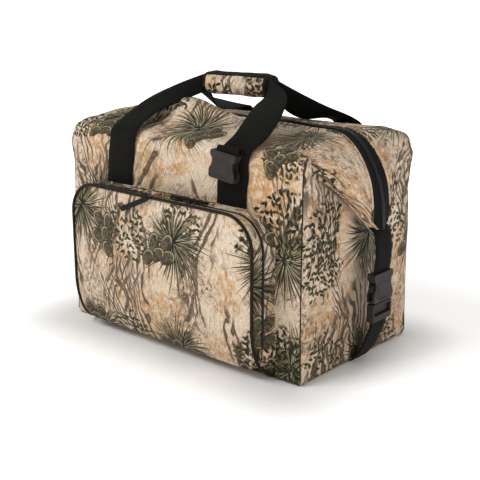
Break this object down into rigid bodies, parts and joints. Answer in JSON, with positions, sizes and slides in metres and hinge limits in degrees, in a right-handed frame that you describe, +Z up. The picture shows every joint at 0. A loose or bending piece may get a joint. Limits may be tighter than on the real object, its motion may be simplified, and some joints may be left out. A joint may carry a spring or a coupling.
{
  "type": "insulated cooler bag",
  "caption": "Soft-sided insulated cooler bag with a fold-over zip top, webbing handles with a padded grip, end buckles and a zipped front pocket.",
  "frame": {"origin": "centre of the base, on the ground", "axes": "+X along the length to the right end, +Y to the rear, +Z up; the pocket is on the front (-Y)"},
  "size_m": [0.518, 0.319, 0.378],
  "materials": {
    "camo_fabric": "printed woven polyester, matte, desert foliage pattern",
    "foam": "closed-cell foam",
    "liner": "smooth grey waterproof film",
    "webbing": "black woven polypropylene webbing",
    "zip_tape": "black woven tape with coil",
    "piping": "dark brown-black bound edge",
    "buckle_plastic": "fine-textured moulded acetal",
    "slider_paint": "tan painted die-cast",
    "pull_rubber": "blue-black moulded rubber"
  },
  "bodies": {
    "shell": {"base_panel": "camo_fabric", "front_panel": "camo_fabric", "rear_panel": "camo_fabric", "left_end_panel": "camo_fabric", "right_end_panel": "camo_fabric", "corner_piping": "camo_fabric", "base_foam": "foam", "front_foam": "foam", "rear_foam": "foam", "left_end_foam": "foam", "right_end_foam": "foam", "top_end_foam": "foam", "liner": "liner", "right_ear": "camo_fabric", "left_ear": "camo_fabric", "right_ear_zip": "zip_tape", "left_ear_zip": "zip_tape", "right_zip_tab": "webbing", "left_zip_tab": "webbing", "right_lower_strap": "webbing", "left_lower_strap": "webbing", "right_buckle_socket": "buckle_plastic", "left_buckle_socket": "buckle_plastic", "front_straps": "webbing", "rear_straps": "webbing", "pocket_back": "camo_fabric", "pocket_rear_gusset": "camo_fabric", "pocket_rear_zip": "zip_tape"},
    "front_lid": {"front_lid_cover": "camo_fabric", "front_lid_foam": "foam", "front_lid_lining": "liner", "front_lid_zip": "zip_tape"},
    "rear_lid": {"rear_lid_cover": "camo_fabric", "rear_lid_foam": "foam", "rear_lid_lining": "liner", "rear_lid_zip": "zip_tape"},
    "front_handle": {"front_handle": "webbing", "front_grip": "camo_fabric"},
    "rear_handle": {"rear_handle": "webbing", "rear_grip": "camo_fabric"},
    "main_slider": {"main_slider": "slider_paint"},
    "main_pull": {"main_pull": "pull_rubber"},
    "pocket_front": {"pocket_front_gusset": "camo_fabric", "pocket_front_zip": "zip_tape", "pocket_face": "camo_fabric", "pocket_piping": "piping"},
    "pocket_left_slider": {"pocket_left_slider": "slider_paint"},
    "pocket_right_slider": {"pocket_right_slider": "slider_paint"},
    "pocket_left_pull": {"pocket_left_pull": "pull_rubber"},
    "pocket_right_pull": {"pocket_right_pull": "pull_rubber"},
    "right_buckle_plug": {"right_buckle_plug": "buckle_plastic"},
    "right_buckle_front_arm": {"right_buckle_front_arm": "buckle_plastic"},
    "right_buckle_rear_arm": {"right_buckle_rear_arm": "buckle_plastic"},
    "left_buckle_plug": {"left_buckle_plug": "buckle_plastic"},
    "left_buckle_front_arm": {"left_buckle_front_arm": "buckle_plastic"},
    "left_buckle_rear_arm": {"left_buckle_rear_arm": "buckle_plastic"},
    "front_shoulder_buckle": {"front_shoulder_buckle": "buckle_plastic"},
    "rear_shoulder_buckle": {"rear_shoulder_buckle": "buckle_plastic"}
  },
  "joints": [
    {"name": "front_handle_swing", "type": "hinge", "parent": "shell", "child": "front_handle", "pos_m": [0, -0.1292, 0.3], "axis": [1, 0, 0], "range_deg": [0, 110]},
    {"name": "rear_handle_swing", "type": "hinge", "parent": "shell", "child": "rear_handle", "pos_m": [0, 0.1292, 0.3], "axis": [-1, 0, 0], "range_deg": [0, 110]},
    {"name": "front_lid_lift", "type": "hinge", "parent": "shell", "child": "front_lid", "pos_m": [0, -0.119, 0.3], "axis": [1, 0, 0], "range_deg": [0, 87]},
    {"name": "rear_lid_lift", "type": "hinge", "parent": "shell", "child": "rear_lid", "pos_m": [0, 0.119, 0.3], "axis": [-1, 0, 0], "range_deg": [0, 87]},
    {"name": "main_zip_slide", "type": "slide", "parent": "shell", "child": "main_slider", "axis": [1, 0, 0], "range_m": [0, 0.366]},
    {"name": "main_pull_swing", "type": "hinge", "parent": "main_slider", "child": "main_pull", "pos_m": [-0.1744, 0, 0.3205], "axis": [0, -1, 0], "range_deg": [0, 140]},
    {"name": "pocket_front_open", "type": "hinge", "parent": "shell", "child": "pocket_front", "pos_m": [0, -0.15, 0.015], "axis": [1, 0, 0], "range_deg": [0, 30]},
    {"name": "pocket_left_slide", "type": "slide", "parent": "pocket_front", "child": "pocket_left_slider", "axis": [-1, 0, 0], "range_m": [0, 0.105]},
    {"name": "pocket_right_slide", "type": "slide", "parent": "pocket_front", "child": "pocket_right_slider", "axis": [1, 0, 0], "range_m": [0, 0.105]},
    {"name": "pocket_left_pull_swing", "type": "hinge", "parent": "pocket_left_slider", "child": "pocket_left_pull", "pos_m": [-0.002, -0.1725, 0.2258], "axis": [-1, 0, 0], "range_deg": [0, 110]},
    {"name": "pocket_right_pull_swing", "type": "hinge", "parent": "pocket_right_slider", "child": "pocket_right_pull", "pos_m": [0.016, -0.15, 0.226], "axis": [0, -1, 0], "range_deg": [0, 140]},
    {"name": "right_buckle_release", "type": "slide", "parent": "shell", "child": "right_buckle_plug", "axis": [0, 0, -1], "range_m": [0, 0.03], "deforming": ["right_lower_strap", "right_buckle_front_arm", "right_buckle_rear_arm"]},
    {"name": "right_rear_arm_squeeze", "type": "hinge", "parent": "right_buckle_plug", "child": "right_buckle_rear_arm", "pos_m": [0.253, 0.0135, 0.0966], "axis": [1, 0, 0], "range_deg": [0, 13], "stiffness_Nm_per_rad": 0.02},
    {"name": "right_front_arm_squeeze", "type": "hinge", "parent": "right_buckle_plug", "child": "right_buckle_front_arm", "pos_m": [0.253, -0.0135, 0.0966], "axis": [1, 0, 0], "range_deg": [-13, 0], "stiffness_Nm_per_rad": 0.02},
    {"name": "left_buckle_release", "type": "slide", "parent": "shell", "child": "left_buckle_plug", "axis": [0, 0, -1], "range_m": [0, 0.03], "deforming": ["left_lower_strap", "left_buckle_front_arm", "left_buckle_rear_arm"]},
    {"name": "left_rear_arm_squeeze", "type": "hinge", "parent": "left_buckle_plug", "child": "left_buckle_rear_arm", "pos_m": [-0.253, 0.0135, 0.0966], "axis": [1, 0, 0], "range_deg": [0, 13], "stiffness_Nm_per_rad": 0.02},
    {"name": "left_front_arm_squeeze", "type": "hinge", "parent": "left_buckle_plug", "child": "left_buckle_front_arm", "pos_m": [-0.253, -0.0135, 0.0966], "axis": [1, 0, 0], "range_deg": [-13, 0], "stiffness_Nm_per_rad": 0.02},
    {"name": "front_shoulder_swing", "type": "hinge", "parent": "shell", "child": "front_shoulder_buckle", "pos_m": [0.105, -0.139, 0.293], "axis": [-1, 0, 0], "range_deg": [0, 52]},
    {"name": "rear_shoulder_swing", "type": "hinge", "parent": "shell", "child": "rear_shoulder_buckle", "pos_m": [-0.105, 0.139, 0.293], "axis": [1, 0, 0], "range_deg": [0, 52]}
  ],
  "couplings": [
    {"joint": "front_lid_lift", "follows": "front_handle_swing", "ratio": 0.79},
    {"joint": "rear_lid_lift", "follows": "rear_handle_swing", "ratio": 0.79},
    {"joint": "right_front_arm_squeeze", "follows": "right_rear_arm_squeeze", "ratio": -1},
    {"joint": "left_front_arm_squeeze", "follows": "left_rear_arm_squeeze", "ratio": -1}
  ]
}
